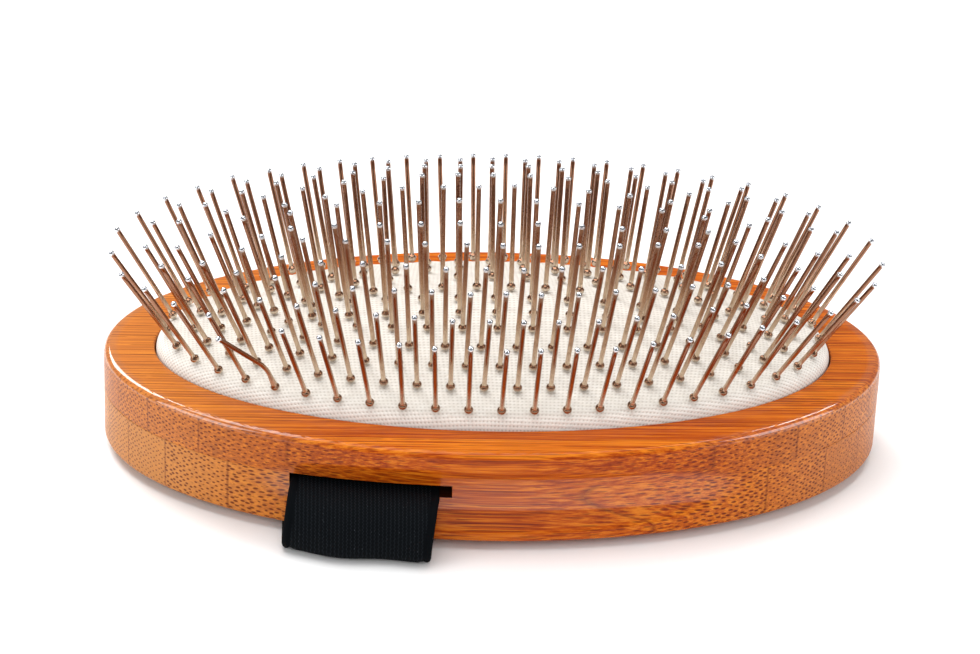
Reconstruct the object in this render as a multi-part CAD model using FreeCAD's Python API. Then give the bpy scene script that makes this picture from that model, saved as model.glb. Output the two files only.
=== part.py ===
import FreeCAD, Part
import math
import os

# Palm pin brush, lying on its back with the pins up
# Units are millimetres and Z is up; x runs along the oval and y across it
# Pieces are made with the flat back of the body at z = 0 and saved with the strap's underside there

# Body
LENGTH = 136.0
WIDTH = 74.0
LOWER_PLY = 9.8
UPPER_PLY = 7.4
RIM_AT_ENDS = 8.8
RIM_AT_SIDES = 8.2
EDGE_ROUND = 1.3
UNDER_EDGE_BREAK = 0.9

# Finger grooves along both long sides
GROOVE_HALF_LENGTH = 43.5
GROOVE_DEPTH = 2.2
GROOVE_TOOL_RADIUS = 9.0
GROOVE_HEIGHT = 7.8

# Strap of elastic webbing and the slots it enters
STRAP_WIDTH = 25.0
STRAP_THICKNESS = 1.4
STRAP_CENTRE_X = -22.8
STRAP_STANDOFF = 1.7
STRAP_FOLD = 2.2
STRAP_TURN = 2.3
STRAP_INNER_END = 7.0
STRAP_UNDER_GAP = 0.1
SLOT_HEIGHT = 2.3
SLOT_WIDTH = 28.5
SLOT_CENTRE_X = -22.4
SLOT_RUN_IN = 9.0
STRAP_STATIONS = 4

# Cushion
CUSHION_GAP = 0.3
CUSHION_WALL = 1.6
CUSHION_EDGE_DROP = 0.6
CUSHION_RISE = 7.8
CUSHION_SHOULDER = 2.4
CUSHION_SIDES = 48
CUSHION_SWELL = 1.9
CUSHION_LEVELS = [0.975, 0.84, 0.66, 0.46, 0.24]
CAVITY_LEVELS = [0.95, 0.66]

# Pins
PIN_LENGTH = 19.4
PIN_RADIUS = 0.42
PIN_SIDES = 5
BEAD_RADIUS = 0.78
BEAD_HEIGHT = 1.3
BEAD_FOOT_RADIUS = 0.42
BEAD_LIFT = 0.24
LEAN_AT_ENDS = 0.53
LEAN_POWER_X = 1.6
LEAN_AT_SIDES = 0.467
LEAN_POWER_Y = 0.7
RING_NAMES = ["pins_ring_1", "pins_ring_2", "pins_ring_3", "pins_ring_4", "pins_ring_5", "pins_centre_row"]
RING_COUNTS = [49, 43, 38, 31, 27, 22]
RING_STARTS = [0.0, 0.5, 0.0, 0.5, 0.0, 0.0]
RING_SHARES_X = [0.953, 0.875, 0.809, 0.730, 0.657, 0.574]
RING_SHARES_Y = [0.952, 0.785, 0.615, 0.444, 0.260, 0.090]
RING_SQUARENESS = [2.0, 2.0, 2.0, 2.0, 2.0, 3.5]
BENT_PIN_RING = 1
BENT_PIN_TURN = 0.857
BENT_PIN_KNEE = 0.323
BENT_PIN_AIM = FreeCAD.Vector(-0.62, -0.43, 0.66)

# How far cutting blocks reach past what they cut
CUT_OVER = 1.0

HALF_LENGTH = LENGTH / 2
HALF_WIDTH = WIDTH / 2
THICKNESS = LOWER_PLY + UPPER_PLY
MOUTH_X = HALF_LENGTH - RIM_AT_ENDS
MOUTH_Y = HALF_WIDTH - RIM_AT_SIDES
PAD_X = MOUTH_X - CUSHION_GAP
PAD_Y = MOUTH_Y - CUSHION_GAP
SLOT_FLOOR = LOWER_PLY - SLOT_HEIGHT
REST_LIFT = STRAP_UNDER_GAP + STRAP_THICKNESS
OUTER_RING_X = MOUTH_X * RING_SHARES_X[0]
OUTER_RING_Y = MOUTH_Y * RING_SHARES_Y[0]


def oval(half_x, half_y, height):
    """Level oval outline."""
    curve = Part.Ellipse(FreeCAD.Vector(0, 0, height), half_x, half_y)
    return Part.Wire(curve.toShape())


def oval_block(levels):
    """Upright oval block through levels given as inset and height."""
    outlines = []
    for inset, height in levels:
        outlines.append(oval(HALF_LENGTH - inset, HALF_WIDTH - inset, height))
    return Part.makeLoft(outlines, True, True)


def wall_y(x):
    """Distance of the plain side wall from the long axis at one x."""
    return HALF_WIDTH * math.sqrt(max(0.0, 1 - (x / HALF_LENGTH) ** 2))


def groove_tool(side):
    """Ring whose inner side scoops one finger groove out of a long side wall."""
    end_y = wall_y(GROOVE_HALF_LENGTH)
    floor_y = HALF_WIDTH - GROOVE_DEPTH
    sag = floor_y - end_y
    floor_radius = (GROOVE_HALF_LENGTH ** 2 + sag ** 2) / (2 * sag)
    centre = FreeCAD.Vector(0, side * (floor_y - floor_radius), GROOVE_HEIGHT)
    ring_radius = floor_radius + GROOVE_TOOL_RADIUS
    return Part.makeTorus(ring_radius, GROOVE_TOOL_RADIUS, centre, FreeCAD.Vector(0, 0, 1))


def slot_tool(side):
    """Block that cuts one strap slot into the top face of the lower ply."""
    run_in = wall_y(SLOT_CENTRE_X) - SLOT_RUN_IN
    length = HALF_WIDTH - run_in + CUT_OVER
    start_y = run_in if side > 0 else -run_in - length
    corner = FreeCAD.Vector(SLOT_CENTRE_X - SLOT_WIDTH / 2, start_y, SLOT_FLOOR)
    return Part.makeBox(SLOT_WIDTH, length, SLOT_HEIGHT + CUT_OVER, corner)


def make_body():
    """The two glued bamboo plies of the body."""
    lower = oval_block([
        (UNDER_EDGE_BREAK, 0),
        (0, UNDER_EDGE_BREAK),
        (0, LOWER_PLY),
    ])
    easing = EDGE_ROUND * (1 - math.sqrt(0.5))
    upper = oval_block([
        (0, LOWER_PLY),
        (0, THICKNESS - EDGE_ROUND),
        (easing, THICKNESS - easing),
        (EDGE_ROUND, THICKNESS),
    ])
    mouth = Part.Face(oval(MOUTH_X, MOUTH_Y, LOWER_PLY - CUT_OVER))
    upper = upper.cut(mouth.extrude(FreeCAD.Vector(0, 0, UPPER_PLY + 2 * CUT_OVER)))
    for side in (-1, 1):
        tool = groove_tool(side)
        lower = lower.cut(tool).cut(slot_tool(side))
        upper = upper.cut(tool)
    return upper, lower


def skin(rings):
    """Solid that joins a run of many-sided sections with flat faces."""
    sides = len(rings[0])
    faces = []
    for lower, upper in zip(rings, rings[1:]):
        for i in range(sides):
            j = (i + 1) % sides
            outline = [lower[i], lower[j], upper[j], upper[i], lower[i]]
            faces.append(Part.Face(Part.makePolygon(outline)))
    for ring in (rings[0], rings[-1]):
        faces.append(Part.Face(Part.makePolygon(ring + [ring[0]])))
    solid = Part.makeSolid(Part.makeShell(faces))
    if solid.Volume < 0:
        solid.reverse()
    return solid


def pad_ring(half_x, half_y, share, height):
    """Corners of the level many-sided outline of the pad at one share of its full size."""
    corners = []
    for i in range(CUSHION_SIDES):
        angle = 2 * math.pi * i / CUSHION_SIDES
        x = half_x * share * math.cos(angle)
        y = half_y * share * math.sin(angle)
        corners.append(FreeCAD.Vector(x, y, height))
    return corners


def swell(share):
    """Rise of the pad over the rim at one share of the way out."""
    return CUSHION_SHOULDER + (CUSHION_RISE - CUSHION_SHOULDER) * (1 - share ** CUSHION_SWELL)


def pad_block(half_x, half_y, foot, sink, levels):
    """Upright block with a domed top."""
    edge = THICKNESS - CUSHION_EDGE_DROP
    rings = [pad_ring(half_x, half_y, 1.0, foot), pad_ring(half_x, half_y, 1.0, edge)]
    for share in levels:
        rings.append(pad_ring(half_x, half_y, share, THICKNESS + swell(share) - sink))
    return skin(rings)


def make_cushion():
    """Hollow domed pad whose skirt stands on the lower ply."""
    outside = pad_block(PAD_X, PAD_Y, LOWER_PLY, 0.0, CUSHION_LEVELS)
    cavity_x = PAD_X - CUSHION_WALL
    cavity_y = PAD_Y - CUSHION_WALL
    cavity = pad_block(cavity_x, cavity_y, LOWER_PLY - CUT_OVER, CUSHION_WALL, CAVITY_LEVELS)
    return outside.cut(cavity)


def dome_height(x, y):
    """Height of the outer face of the cushion."""
    sector = 2 * math.pi / CUSHION_SIDES
    angle = math.atan2(y / PAD_Y, x / PAD_X) % sector - sector / 2
    reach = math.hypot(x / PAD_X, y / PAD_Y) * math.cos(angle) / math.cos(sector / 2)
    for outer, inner in zip(CUSHION_LEVELS, CUSHION_LEVELS[1:]):
        if reach >= inner:
            share = (reach - inner) / (outer - inner)
            return THICKNESS + share * swell(outer) + (1 - share) * swell(inner)
    return THICKNESS + swell(CUSHION_LEVELS[-1])


def pin_direction(x, y):
    """Unit vector along a pin, leaning outwards more towards the edge."""
    lean_x = math.copysign(LEAN_AT_ENDS * (abs(x) / OUTER_RING_X) ** LEAN_POWER_X, x)
    lean_y = math.copysign(LEAN_AT_SIDES * (abs(y) / OUTER_RING_Y) ** LEAN_POWER_Y, y)
    return FreeCAD.Vector(lean_x, lean_y, math.sqrt(1 - lean_x ** 2 - lean_y ** 2))


def oval_point(half_x, half_y, squareness, turn):
    """Point on a more or less square oval, turned from its front middle."""
    across = math.sin(turn)
    along = -math.cos(turn)
    x = half_x * math.copysign(abs(across) ** (2 / squareness), across)
    y = half_y * math.copysign(abs(along) ** (2 / squareness), along)
    return (x, y)


def ring_points(half_x, half_y, squareness, count, start):
    """Evenly spaced points along an oval, counted in pitches from its front middle."""
    steps = 3600
    outline = [oval_point(half_x, half_y, squareness, 2 * math.pi * i / steps) for i in range(steps + 1)]
    lengths = [0.0]
    for before, after in zip(outline, outline[1:]):
        lengths.append(lengths[-1] + math.dist(before, after))
    points = []
    i = 0
    for k in range(count):
        want = lengths[-1] * (k + start) / count
        while lengths[i + 1] < want:
            i += 1
        share = (want - lengths[i]) / (lengths[i + 1] - lengths[i])
        x = outline[i][0] + share * (outline[i + 1][0] - outline[i][0])
        y = outline[i][1] + share * (outline[i + 1][1] - outline[i][1])
        points.append((x, y))
    return points


def section(centre, along, radius, side_x):
    """Corners of one many-sided section square to a direction."""
    side_y = along.cross(side_x)
    corners = []
    for i in range(PIN_SIDES):
        angle = 2 * math.pi * i / PIN_SIDES
        offset = side_x * (radius * math.cos(angle)) + side_y * (radius * math.sin(angle))
        corners.append(centre + offset)
    return corners


def bead_rings(foot, along, side_x):
    """Sections of the bead at the foot of a pin."""
    middle = foot + along * (BEAD_HEIGHT * 0.5)
    top = foot + along * BEAD_HEIGHT
    return [
        section(foot, along, BEAD_FOOT_RADIUS, side_x),
        section(middle, along, BEAD_RADIUS, side_x),
        section(top, along, PIN_RADIUS, side_x),
    ]


def make_pin(x, y):
    """One straight pin standing on the cushion."""
    along = pin_direction(x, y)
    side_x = FreeCAD.Vector(0, 1, 0).cross(along).normalize()
    foot = FreeCAD.Vector(x, y, dome_height(x, y)) + along * BEAD_LIFT
    tip = foot + along * PIN_LENGTH
    return skin(bead_rings(foot, along, side_x) + [section(tip, along, PIN_RADIUS, side_x)])


def make_bent_pin(x, y):
    """The one pin that is bent over part way up."""
    along = pin_direction(x, y)
    side_x = FreeCAD.Vector(0, 1, 0).cross(along).normalize()
    foot = FreeCAD.Vector(x, y, dome_height(x, y)) + along * BEAD_LIFT
    knee = foot + along * (PIN_LENGTH * BENT_PIN_KNEE)
    aim = FreeCAD.Vector(BENT_PIN_AIM).normalize()
    tip = knee + aim * (PIN_LENGTH * (1 - BENT_PIN_KNEE))
    cut_normal = (along + aim).normalize()
    knee_ring = []
    for corner in section(foot, along, PIN_RADIUS, side_x):
        travel = (knee - corner).dot(cut_normal) / along.dot(cut_normal)
        knee_ring.append(corner + along * travel)
    tip_ring = []
    for corner in knee_ring:
        tip_ring.append(corner + aim * (tip - corner).dot(aim))
    return skin(bead_rings(foot, along, side_x) + [knee_ring, tip_ring])


def strap_section(x):
    """Closed outline of the strap across the brush at one x."""
    half = STRAP_THICKNESS / 2
    inside = wall_y(STRAP_CENTRE_X) - STRAP_INNER_END
    outer = wall_y(x) + STRAP_STANDOFF
    rise = SLOT_FLOOR + half
    under = -STRAP_UNDER_GAP - half
    path = [
        (inside, rise),
        (outer - STRAP_FOLD, rise),
        (outer - STRAP_FOLD * 0.29, rise - STRAP_FOLD * 0.29),
        (outer, rise - STRAP_FOLD),
        (outer, under + STRAP_TURN),
        (outer - STRAP_TURN * 0.29, under + STRAP_TURN * 0.29),
        (outer - STRAP_TURN, under),
    ]
    line = [(-y, z) for y, z in path] + list(reversed(path))
    upper_side = []
    lower_side = []
    for i, (y, z) in enumerate(line):
        normals = []
        for start, end in ((i - 1, i), (i, i + 1)):
            if start >= 0 and end < len(line):
                step_y = line[end][0] - line[start][0]
                step_z = line[end][1] - line[start][1]
                size = math.hypot(step_y, step_z)
                normals.append((-step_z / size, step_y / size))
        sum_y = sum(n[0] for n in normals)
        sum_z = sum(n[1] for n in normals)
        size = math.hypot(sum_y, sum_z)
        spread = half * size / (sum_y * normals[0][0] + sum_z * normals[0][1])
        out_y = sum_y / size * spread
        out_z = sum_z / size * spread
        upper_side.append(FreeCAD.Vector(x, y + out_y, z + out_z))
        lower_side.append(FreeCAD.Vector(x, y - out_y, z - out_z))
    return upper_side + list(reversed(lower_side))


def make_strap():
    """Elastic webbing from slot to slot round the back of the body."""
    sections = []
    for i in range(STRAP_STATIONS):
        x = STRAP_CENTRE_X + STRAP_WIDTH * (i / (STRAP_STATIONS - 1) - 0.5)
        sections.append(strap_section(x))
    return skin(sections)


def save(shape, node):
    """Write one piece as a STEP file, lifted to lie on z = 0, after a plain soundness check."""
    if not shape.isValid():
        raise RuntimeError(node + " is not a valid shape")
    lifted = shape.translated(FreeCAD.Vector(0, 0, REST_LIFT))
    lifted.exportStep("parts/" + node + ".step")


os.makedirs("parts", exist_ok=True)

upper_ply, lower_ply = make_body()
save(upper_ply, "body_upper_ply")
save(lower_ply, "body_lower_ply")
save(make_cushion(), "cushion")
save(make_strap(), "hand_strap")

for ring, count in enumerate(RING_COUNTS, start=1):
    ring_x = MOUTH_X * RING_SHARES_X[ring - 1]
    ring_y = MOUTH_Y * RING_SHARES_Y[ring - 1]
    places = ring_points(ring_x, ring_y, RING_SQUARENESS[ring - 1], count, RING_STARTS[ring - 1])
    bent_number = round(BENT_PIN_TURN * count) % count
    pins = []
    for number, (x, y) in enumerate(places):
        if ring == BENT_PIN_RING and number == bent_number:
            save(make_bent_pin(x, y), "pin_bent")
        else:
            pins.append(make_pin(x, y))
    save(Part.makeCompound(pins), RING_NAMES[ring - 1])
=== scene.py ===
import math
import random

import bpy
from bpy.props import FloatProperty, FloatVectorProperty, IntProperty, PointerProperty
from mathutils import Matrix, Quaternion, Vector


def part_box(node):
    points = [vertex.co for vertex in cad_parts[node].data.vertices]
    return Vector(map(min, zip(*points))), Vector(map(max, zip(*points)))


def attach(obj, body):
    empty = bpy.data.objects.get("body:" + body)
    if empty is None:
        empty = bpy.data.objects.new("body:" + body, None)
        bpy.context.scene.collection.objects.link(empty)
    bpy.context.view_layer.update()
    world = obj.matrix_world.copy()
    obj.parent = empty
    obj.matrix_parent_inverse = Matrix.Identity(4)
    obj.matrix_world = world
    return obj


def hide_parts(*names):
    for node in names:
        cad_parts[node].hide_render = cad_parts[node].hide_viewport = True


bl_info = {
    "name": "Palm pin brush",
    "version": (1, 0, 0),
    "blender": (4, 5, 0),
    "location": "3D View > Sidebar > Pin Brush",
    "description": "Builds the looks of a bamboo palm pin brush on its packed frame",
    "category": "Add Mesh",
}

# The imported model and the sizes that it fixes, in metres
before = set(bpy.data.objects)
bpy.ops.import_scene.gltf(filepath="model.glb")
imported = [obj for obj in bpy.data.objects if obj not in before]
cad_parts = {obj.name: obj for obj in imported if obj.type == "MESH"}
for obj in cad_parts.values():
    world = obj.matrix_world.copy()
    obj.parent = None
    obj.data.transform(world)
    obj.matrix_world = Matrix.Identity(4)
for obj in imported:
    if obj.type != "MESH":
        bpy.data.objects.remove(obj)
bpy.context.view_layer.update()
LOWER_LOW, LOWER_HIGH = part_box("body_lower_ply")
UPPER_LOW, UPPER_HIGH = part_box("body_upper_ply")
PAD_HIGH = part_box("cushion")[1]
STRAP_LOW, STRAP_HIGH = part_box("hand_strap")
MM = 0.001

# Height of the strap slots and half lengths of the mouth that the cushion stands in
SLOT_HEIGHT = 2.3 * MM
MOUTH_GAP = 0.3 * MM
MOUTH_X = PAD_HIGH.x + MOUTH_GAP
MOUTH_Y = PAD_HIGH.y + MOUTH_GAP

# Rows of points round the boards, the cushion and the pins
UNDER_ROWS = 6
LOWER_WALL_ROWS = 22
UPPER_WALL_ROWS = 14
RIM_ROWS = 8
MOUTH_ROWS = 4
HEM_ROWS = 12
BEAD_ROWS = 8
WIRE_ROWS = 8
KNEE_ROWS = 12
BALL_ROWS = 7

# Angles in degrees past which an edge is shaded sharp
BOARD_CREASE = 35.0
WIRE_CREASE = 50.0


# Shader maths


class Term:
    """One output socket that can be used in plain arithmetic."""

    def __init__(self, finish, socket):
        self.finish = finish
        self.socket = socket

    def __add__(self, other):
        return self.finish.maths("ADD", self, other)

    def __radd__(self, other):
        return self.finish.maths("ADD", other, self)

    def __sub__(self, other):
        return self.finish.maths("SUBTRACT", self, other)

    def __rsub__(self, other):
        return self.finish.maths("SUBTRACT", other, self)

    def __mul__(self, other):
        return self.finish.maths("MULTIPLY", self, other)

    def __rmul__(self, other):
        return self.finish.maths("MULTIPLY", other, self)

    def __truediv__(self, other):
        return self.finish.maths("DIVIDE", self, other)

    def __rtruediv__(self, other):
        return self.finish.maths("DIVIDE", other, self)


class Finish:
    """A material whose nodes are written as expressions."""

    def __init__(self, name):
        self.material = bpy.data.materials.new(name)
        self.material.use_nodes = True
        self.tree = self.material.node_tree
        self.shader = self.tree.nodes["Principled BSDF"]

    def feed(self, socket, value):
        """Set a socket to a plain value or link a term to it."""
        if isinstance(value, Term):
            self.tree.links.new(value.socket, socket)
        else:
            socket.default_value = value

    def node(self, kind, settings, sockets, output=0):
        """Add one node, set it up, fill its sockets and return one of its outputs."""
        made = self.tree.nodes.new(kind)
        for key, value in settings.items():
            if key == "stops":
                self.set_stops(made.color_ramp, value)
            else:
                setattr(made, key, value)
        for key, value in sockets.items():
            self.feed(made.inputs[key], value)
        return Term(self, made.outputs[output])

    def set_stops(self, ramp, stops):
        """Put the colour stops on a ramp."""
        while len(ramp.elements) < len(stops):
            ramp.elements.new(0.5)
        for element, (place, colour) in zip(ramp.elements, stops):
            element.position = place
            element.color = (*colour, 1.0)

    def maths(self, operation, first, second=0.0):
        """One or two values through one Math node."""
        return self.node("ShaderNodeMath", {"operation": operation}, {0: first, 1: second})

    def ease(self, value, low, high):
        """Smooth step from 0 at low to 1 at high."""
        sockets = {"Value": value, "From Min": low, "From Max": high}
        return self.node("ShaderNodeMapRange", {"interpolation_type": "SMOOTHSTEP"}, sockets)

    def blend(self, share, first, second):
        """Mix of two colours."""
        return self.node("ShaderNodeMix", {"data_type": "RGBA"}, {0: share, 6: first, 7: second}, 2)

    def place(self):
        """The three coordinates in millimetres."""
        spot = self.node("ShaderNodeTexCoord", {}, {}, "Object")
        parts = [self.node("ShaderNodeSeparateXYZ", {}, {0: spot}, axis) for axis in range(3)]
        return [part * 1000.0 for part in parts]

    def vector(self, x, y, z):
        """Three values as one vector."""
        return self.node("ShaderNodeCombineXYZ", {}, {0: x, 1: y, 2: z})

    def noise(self, spot, rates, detail=2.0, roughness=0.5):
        """Cloudy noise from 0 to 1, its rates in clouds a millimetre along each axis."""
        place = self.vector(*[part * rate for part, rate in zip(spot, rates)])
        sockets = {"Vector": place, "Scale": 1.0, "Detail": detail, "Roughness": roughness}
        return self.node("ShaderNodeTexNoise", {}, sockets)

    def wave(self, spot, pitch):
        """Cosine wave from -1 to 1 with a crest at every pitch."""
        return self.maths("COSINE", spot * (2 * math.pi / pitch))

    def cells(self, x, y, randomness):
        """Distance to the nearest of many scattered points of a plane."""
        sockets = {"Vector": self.vector(x, y, 0.0), "Scale": 1.0, "Randomness": randomness}
        return self.node("ShaderNodeTexVoronoi", {"voronoi_dimensions": "2D"}, sockets)

    def relief(self, height, strength, distance):
        """Bump from a height."""
        sockets = {"Height": height, "Strength": strength, "Distance": distance}
        return self.node("ShaderNodeBump", {}, sockets)

    def surface(self, **values):
        """Fill the sockets of the surface shader."""
        for key, value in values.items():
            self.feed(self.shader.inputs[key.replace("_", " ").title().replace("Ior", "IOR")], value)
        return self.material


def opaque(colour):
    """A colour property with full alpha."""
    return (colour[0], colour[1], colour[2], 1.0)


def depth_inside(finish, x, y):
    """Depth in mm inside the body's plain oval, true near its sides."""
    half_x = UPPER_HIGH.x / MM
    half_y = LOWER_HIGH.y / MM
    out_x = x / half_x
    out_y = y / half_y
    out = finish.maths("SQRT", out_x * out_x + out_y * out_y)
    return (1.0 - out) * half_y


def slot_mask(finish, settings, x, z, depth):
    """1 inside the strap slots and 0 elsewhere."""
    half = settings.slot_width / 2 / MM
    top = LOWER_HIGH.z / MM
    floor = top - SLOT_HEIGHT / MM
    off_centre = finish.maths("ABSOLUTE", x - settings.slot_centre / MM)
    within_x = 1.0 - finish.ease(off_centre, half - 0.05, half + 0.05)
    over_floor = finish.ease(z, floor - 0.1, floor - 0.02)
    over_top = finish.ease(z, top + 0.02, top + 0.06)
    return within_x * over_floor * (1.0 - over_top) * finish.ease(depth, 1.2, 1.5)


def bamboo(name, settings, joint_start, front_strip, end_fade, seed):
    """Lacquered laminated bamboo with its fibres along x."""
    finish = Finish(name)
    x, y, z = finish.place()
    crown = UPPER_HIGH.z / MM
    on_top = finish.ease(z, crown - 1.1, crown - 0.3)
    on_wall = 1.0 - on_top
    side_x = finish.maths("ABSOLUTE", x)
    depth = depth_inside(finish, x, y)

    # Strips glued side by side, each with its own tone
    across = (y - joint_start) / settings.strip_pitch
    strip = finish.maths("FLOOR", across)
    inside = across - strip
    tone = finish.node("ShaderNodeTexWhiteNoise", {"noise_dimensions": "1D"}, {"W": strip + seed})
    outermost = 1.0 - finish.ease(y, joint_start - 0.05, joint_start + 0.05)
    edge = finish.maths("MINIMUM", inside, 1.0 - inside)
    seam = 1.0 - finish.ease(edge, 0.0, settings.seam_share)

    # Fibres, drawn out along the body and a little bowed
    bow = finish.noise((x, y, z), (0.02, 0.05, 0.05))
    fibre_y = y + bow * 1.6
    fibre_z = z + bow * 0.9
    fibre = (x + tone * 173.0, fibre_y, fibre_z)
    streak = finish.noise(fibre, (0.03, 2.1, 2.1), 4.0, 0.68)
    hair = finish.noise(fibre, (0.05, 6.5, 6.5))
    cloud = finish.noise(fibre, (0.012, 0.35, 0.35))

    # Pores, the dark fibre bundles, larger where the wall turns to end grain
    end_grain = finish.ease(side_x, 16.0, 38.0) * on_wall
    slant_up = fibre_y * 1.18 + fibre_z * 1.05
    slant_down = fibre_y * 1.18 - fibre_z * 1.05
    bundle = finish.cells(slant_up, slant_down, 0.45)
    broken = finish.noise(fibre, (0.19, 1.2, 1.2), 1.0)
    width = 0.12 + inside * 0.07 + tone * 0.06 + end_grain * 0.035
    pore = (1.0 - finish.ease(bundle / width, 0.7, 1.5)) * finish.ease(broken, 0.3, 0.42)

    # Colour, paler towards the ends and on the outermost front strip, with the side walls painted a
    # little darker than the top as shade
    level = streak * 2.4 + hair * 0.7 + cloud * 0.3 + tone * 0.2 - 1.3
    level = level + outermost * front_strip * (0.2 + on_top * 0.8) - on_wall * 0.07
    stops = [(0.14, settings.dark[:]), (0.48, settings.middle[:]), (0.86, settings.light[:])]
    wood = finish.node("ShaderNodeValToRGB", {"stops": stops}, {0: level})
    pale_left = finish.ease(x, -18.0, -62.0) * end_fade
    pale_right = finish.ease(x, 26.0, 64.0) * (0.1 + on_wall * 0.32)
    faded = finish.blend(pale_left + pale_right, wood, opaque(settings.end_tone))
    dark = opaque(settings.pore)
    speckled = finish.blend(pore * (0.5 + on_wall * 0.06 + end_grain * 0.34), faded, dark)
    jointed = finish.blend(seam * 0.5, speckled, dark)
    # Painted shade: the wood deep in the strap slots goes near black, standing for the shade inside them
    in_slot = slot_mask(finish, settings, x, z, depth)
    shaded = finish.blend(in_slot * 0.96, jointed, opaque(settings.slot_dark))

    # Lacquer, which shines most in the groove and on the rounded edge near the ends
    in_groove = finish.ease(depth, 0.1, 0.8) * on_wall
    near_ends = finish.ease(side_x, 42.0, 66.0) * on_wall
    edge_low = crown - settings.edge_round / MM
    on_edge = finish.ease(z, edge_low, edge_low + 0.5) * (1.0 - finish.ease(depth, 0.9, 1.5))
    on_edge = on_edge * finish.ease(side_x, 28.0, 40.0)
    cover = 0.1 + in_groove * 0.36 + near_ends * 0.2 + on_edge * 0.74
    height = streak * 0.35 - pore * 0.5 - seam * 0.6
    return finish.surface(
        base_color=shaded,
        roughness=0.44 + streak * 0.16,
        specular_ior_level=0.06,
        coat_weight=cover * settings.lacquer * (1.0 - in_slot),
        coat_roughness=0.05,
        coat_ior=1.9,
        normal=finish.relief(height, 0.12, 0.12 * MM),
    )


def cloth(name, settings):
    """Off-white plain weave seen as rows of small gaps between the threads."""
    finish = Finish(name)
    x, y, z = finish.place()

    # Places along the threads, measured down the slope of the dome and a little warped
    warp = finish.noise((x, y, z), (0.05, 0.05, 0.0), 1.0)
    fall = (UPPER_HIGH.z + settings.rise) / MM - z
    slope_x = finish.ease(x, -50.0, 50.0) * 2.0 - 1.0
    slope_y = finish.ease(y, -20.0, 20.0) * 2.0 - 1.0
    wave_x = finish.wave(x + fall * slope_x + warp * 1.4, settings.gap_pitch_x)
    wave_y = finish.wave(y + fall * slope_y + warp * 1.1, settings.gap_pitch_y)

    # Gaps where the threads leave room, painted darker as the shade between the threads
    gap_x = finish.ease(wave_x, -0.6, 0.95)
    gap_y = finish.ease(wave_y, -0.6, 0.95)
    gap = gap_x * gap_y * 0.75 + gap_y * 0.25

    # Tones of the threads, dull in places, and paler near the edge of the dome as painted light that
    # offsets the shade on its slope
    uneven = finish.noise((x, y, z), (0.9, 1.6, 1.0), 3.0)
    soil = finish.noise((x, y, z), (0.06, 0.09, 0.1))
    dull = opaque(settings.thread_low)
    thread = finish.blend(finish.ease(uneven, 0.3, 0.75), dull, opaque(settings.thread_high))
    toned = finish.blend(finish.ease(soil, 0.35, 0.8) * 0.3, thread, dull)
    rim = UPPER_HIGH.z / MM
    hem = finish.ease(z, rim + 2.7, rim + 1.3)
    edge_lit = finish.blend(hem, toned, opaque(settings.thread_edge))
    woven = finish.blend(gap * (0.25 + uneven * 0.75), edge_lit, opaque(settings.gap))
    height = uneven * 0.5 - wave_x * 0.5 - wave_y * 0.5 - gap * 0.8
    return finish.surface(
        base_color=woven,
        roughness=0.86 - gap * 0.08,
        normal=finish.relief(height, 0.3, 0.1 * MM),
    )


def steel(name, settings):
    """Drawn steel wire with painted reflections: pale at the foot as it mirrors the cloth, browner above
    as it mirrors the wood and the dark room, and a dark belt painted round the bright ball on the tip.
    """
    finish = Finish(name)
    x, y, z = finish.place()
    along = finish.node("ShaderNodeAttribute", {"attribute_name": "along"}, {}, "Fac")

    # Shares of a pin's length where its parts begin
    bead_top = 0.072
    ball_low = 0.955
    ball_belt = 0.988

    mark = finish.noise((x, y, z), (0.9, 0.9, 0.16), 3.0)
    fine = finish.noise((x, y, z), (3.1, 3.1, 0.3))
    level = along + (mark - 0.5) * finish.ease(along, 0.08, 0.3) * 0.34
    # Painted reflections along the pin: the bead pale low down and dark at its collar, the wire pale at
    # the foot as it mirrors the cloth and browner towards the tip as it mirrors the wood and the room
    stops = [
        (0.038, settings.bead[:]),
        (0.052, settings.collar[:]),
        (0.066, settings.collar[:]),
        (0.082, settings.foot[:]),
        (0.38, settings.middle[:]),
        (0.64, settings.upper[:]),
    ]
    painted_reflection_colour = finish.node("ShaderNodeValToRGB", {"stops": stops}, {0: level})
    # Fine streaks of the painted brown reflection along the wire
    streaked = finish.blend(finish.ease(fine, 0.45, 0.7) * 0.45, painted_reflection_colour, opaque(settings.upper))
    # A dark belt painted round the ball as a reflection
    from_belt = finish.maths("ABSOLUTE", along - ball_belt)
    belt = 1.0 - finish.ease(from_belt, 0.003, 0.005)
    ball = finish.blend(belt * 0.9, opaque(settings.tip), opaque(settings.tip_belt))
    on_ball = finish.ease(along, ball_low, ball_low + 0.007)
    over_bead = finish.ease(along, bead_top, bead_top + 0.013)
    dull_foot = over_bead * (1.0 - finish.ease(along, 0.12, 0.42))
    return finish.surface(
        base_color=finish.blend(on_ball, streaked, ball),
        metallic=1.0 - dull_foot * 0.45,
        roughness=0.1 + over_bead * (0.02 + mark * 0.12) - on_ball * 0.1,
        normal=finish.relief(mark, 0.08, 0.05 * MM),
    )


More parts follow.
